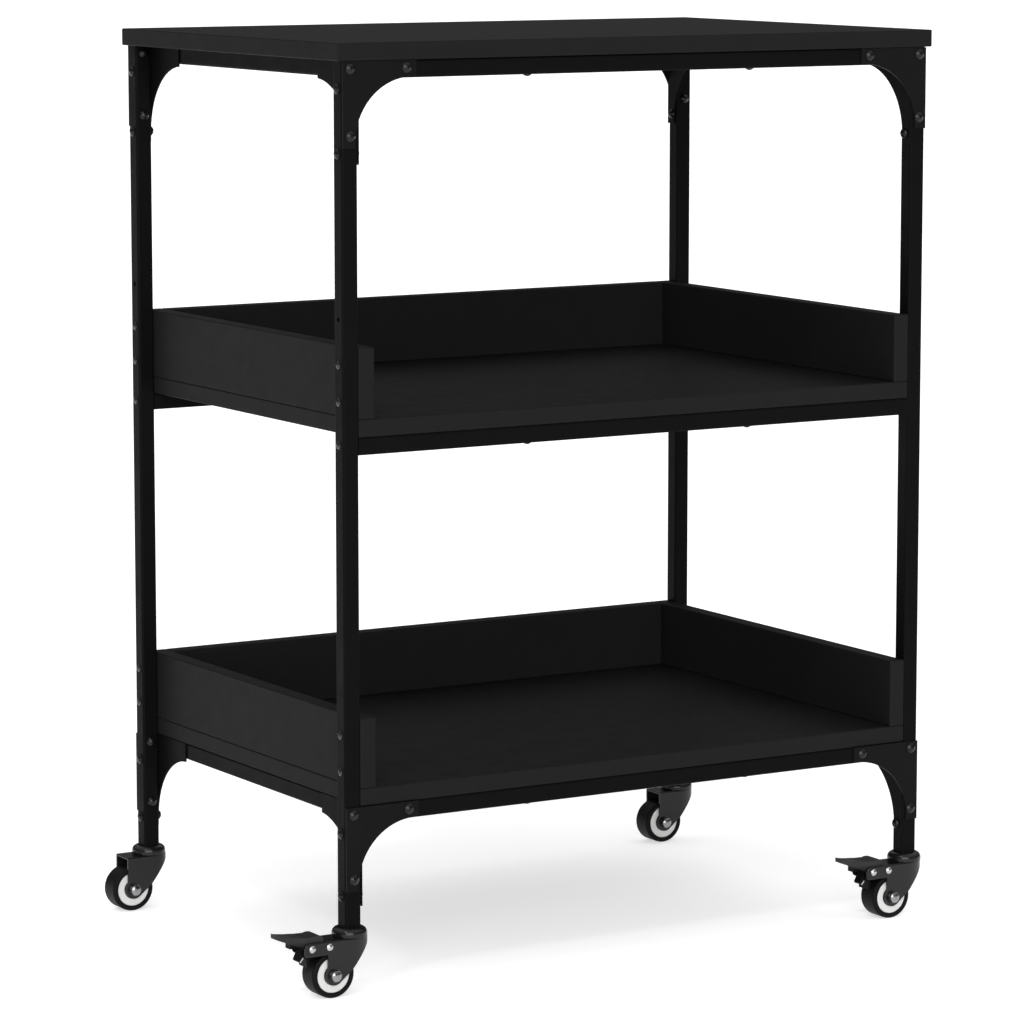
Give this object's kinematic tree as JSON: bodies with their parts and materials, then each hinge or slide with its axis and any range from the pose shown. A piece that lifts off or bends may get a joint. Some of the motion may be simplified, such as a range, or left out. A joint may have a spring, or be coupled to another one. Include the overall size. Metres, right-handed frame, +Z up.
{
  "type": "three-tier rolling utility cart",
  "caption": "Open three-tier rolling cart: flat tabletop over two trays with raised edges, square tube frame with curved gussets, swivel casters with foot brakes at the front.",
  "frame": {"origin": "on the floor under the middle of the whole footprint, which counts the trailing casters and their pedals; the tabletop's middle is 28 mm to its right", "axes": "+X to the right along the 600 mm width, -Y towards the open front, +Z up"},
  "size_m": [0.664, 0.4138, 0.8],
  "materials": {
    "laminate_board": "matt black melamine laminate on board, fine pebbled grain",
    "frame_tube": "satin black powder coat on square steel tube",
    "gusset_plate": "satin black powder coat on sheet steel",
    "black_bolt": "blackened steel, semi-gloss",
    "pan_screw": "blackened steel with worn bright edges",
    "insert_plastic": "black nylon plug",
    "caster_race": "glossy black lacquer on pressed steel",
    "fork_paint": "glossy black lacquer on pressed steel",
    "axle_steel": "bright zinc-plated steel",
    "wheel_plastic": "white moulded plastic, black towards the hub",
    "tread_rubber": "black rubber tread",
    "pedal_plastic": "black glass-filled nylon",
    "spring_steel": "bright spring steel",
    "rivet_steel": "bright domed rivets"
  },
  "bodies": {
    "cart": {"tabletop": "laminate_board", "middle_board": "laminate_board", "middle_left_wall": "laminate_board", "middle_right_wall": "laminate_board", "middle_rear_wall": "laminate_board", "lower_board": "laminate_board", "lower_left_wall": "laminate_board", "lower_right_wall": "laminate_board", "lower_rear_wall": "laminate_board", "post_front_left": "frame_tube", "post_front_right": "frame_tube", "post_rear_left": "frame_tube", "post_rear_right": "frame_tube", "top_front_rail": "frame_tube", "top_rear_rail": "frame_tube", "middle_front_rail": "frame_tube", "middle_rear_rail": "frame_tube", "lower_front_rail": "frame_tube", "lower_rear_rail": "frame_tube", "top_left_rail": "frame_tube", "top_right_rail": "frame_tube", "top_front_gussets": "gusset_plate", "top_rear_gussets": "gusset_plate", "top_left_gussets": "gusset_plate", "top_right_gussets": "gusset_plate", "lower_left_rail": "frame_tube", "lower_right_rail": "frame_tube", "lower_front_gussets": "gusset_plate", "lower_rear_gussets": "gusset_plate", "lower_left_gussets": "gusset_plate", "lower_right_gussets": "gusset_plate", "gusset_bolts": "black_bolt", "gusset_nuts": "black_bolt", "side_screws": "pan_screw", "board_screws": "pan_screw", "post_inserts": "insert_plastic", "caster_stems": "caster_race"},
    "swivel_front_left": {"fork_front_left": "fork_paint", "axle_front_left": "axle_steel", "brake_rivets_front_left": "rivet_steel"},
    "wheel_front_left": {"wheel_core_front_left": "wheel_plastic", "tyre_front_left": "tread_rubber"},
    "brake_front_left": {"brake_pedal_front_left": "pedal_plastic", "brake_leaf_front_left": "spring_steel"},
    "swivel_front_right": {"fork_front_right": "fork_paint", "axle_front_right": "axle_steel", "brake_rivets_front_right": "rivet_steel"},
    "wheel_front_right": {"wheel_core_front_right": "wheel_plastic", "tyre_front_right": "tread_rubber"},
    "brake_front_right": {"brake_pedal_front_right": "pedal_plastic", "brake_leaf_front_right": "spring_steel"},
    "swivel_rear_left": {"fork_rear_left": "fork_paint", "axle_rear_left": "axle_steel"},
    "wheel_rear_left": {"wheel_core_rear_left": "wheel_plastic", "tyre_rear_left": "tread_rubber"},
    "swivel_rear_right": {"fork_rear_right": "fork_paint", "axle_rear_right": "axle_steel"},
    "wheel_rear_right": {"wheel_core_rear_right": "wheel_plastic", "tyre_rear_right": "tread_rubber"}
  },
  "joints": [
    {"name": "caster_swivel_front_left", "type": "hinge", "parent": "cart", "child": "swivel_front_left", "pos_m": [-0.2595, -0.1895, 0.05], "axis": [0, 0, 1], "continuous": true},
    {"name": "wheel_spin_front_left", "type": "hinge", "parent": "swivel_front_left", "child": "wheel_front_left", "pos_m": [-0.2802, -0.1895, 0.02], "axis": [0, 1, 0], "continuous": true},
    {"name": "brake_pedal_front_left", "type": "hinge", "parent": "swivel_front_left", "child": "brake_front_left", "pos_m": [-0.3013, -0.1895, 0.045], "axis": [0, -1, 0], "range_deg": [0, 14]},
    {"name": "caster_swivel_front_right", "type": "hinge", "parent": "cart", "child": "swivel_front_right", "pos_m": [0.3155, -0.1895, 0.05], "axis": [0, 0, 1], "continuous": true},
    {"name": "wheel_spin_front_right", "type": "hinge", "parent": "swivel_front_right", "child": "wheel_front_right", "pos_m": [0.2948, -0.1895, 0.02], "axis": [0, 1, 0], "continuous": true},
    {"name": "brake_pedal_front_right", "type": "hinge", "parent": "swivel_front_right", "child": "brake_front_right", "pos_m": [0.2737, -0.1895, 0.045], "axis": [0, -1, 0], "range_deg": [0, 14]},
    {"name": "caster_swivel_rear_left", "type": "hinge", "parent": "cart", "child": "swivel_rear_left", "pos_m": [-0.2595, 0.1895, 0.05], "axis": [0, 0, 1], "continuous": true},
    {"name": "wheel_spin_rear_left", "type": "hinge", "parent": "swivel_rear_left", "child": "wheel_rear_left", "pos_m": [-0.2802, 0.1895, 0.02], "axis": [0, 1, 0], "continuous": true},
    {"name": "caster_swivel_rear_right", "type": "hinge", "parent": "cart", "child": "swivel_rear_right", "pos_m": [0.3155, 0.1895, 0.05], "axis": [0, 0, 1], "continuous": true},
    {"name": "wheel_spin_rear_right", "type": "hinge", "parent": "swivel_rear_right", "child": "wheel_rear_right", "pos_m": [0.2948, 0.1895, 0.02], "axis": [0, 1, 0], "continuous": true}
  ]
}
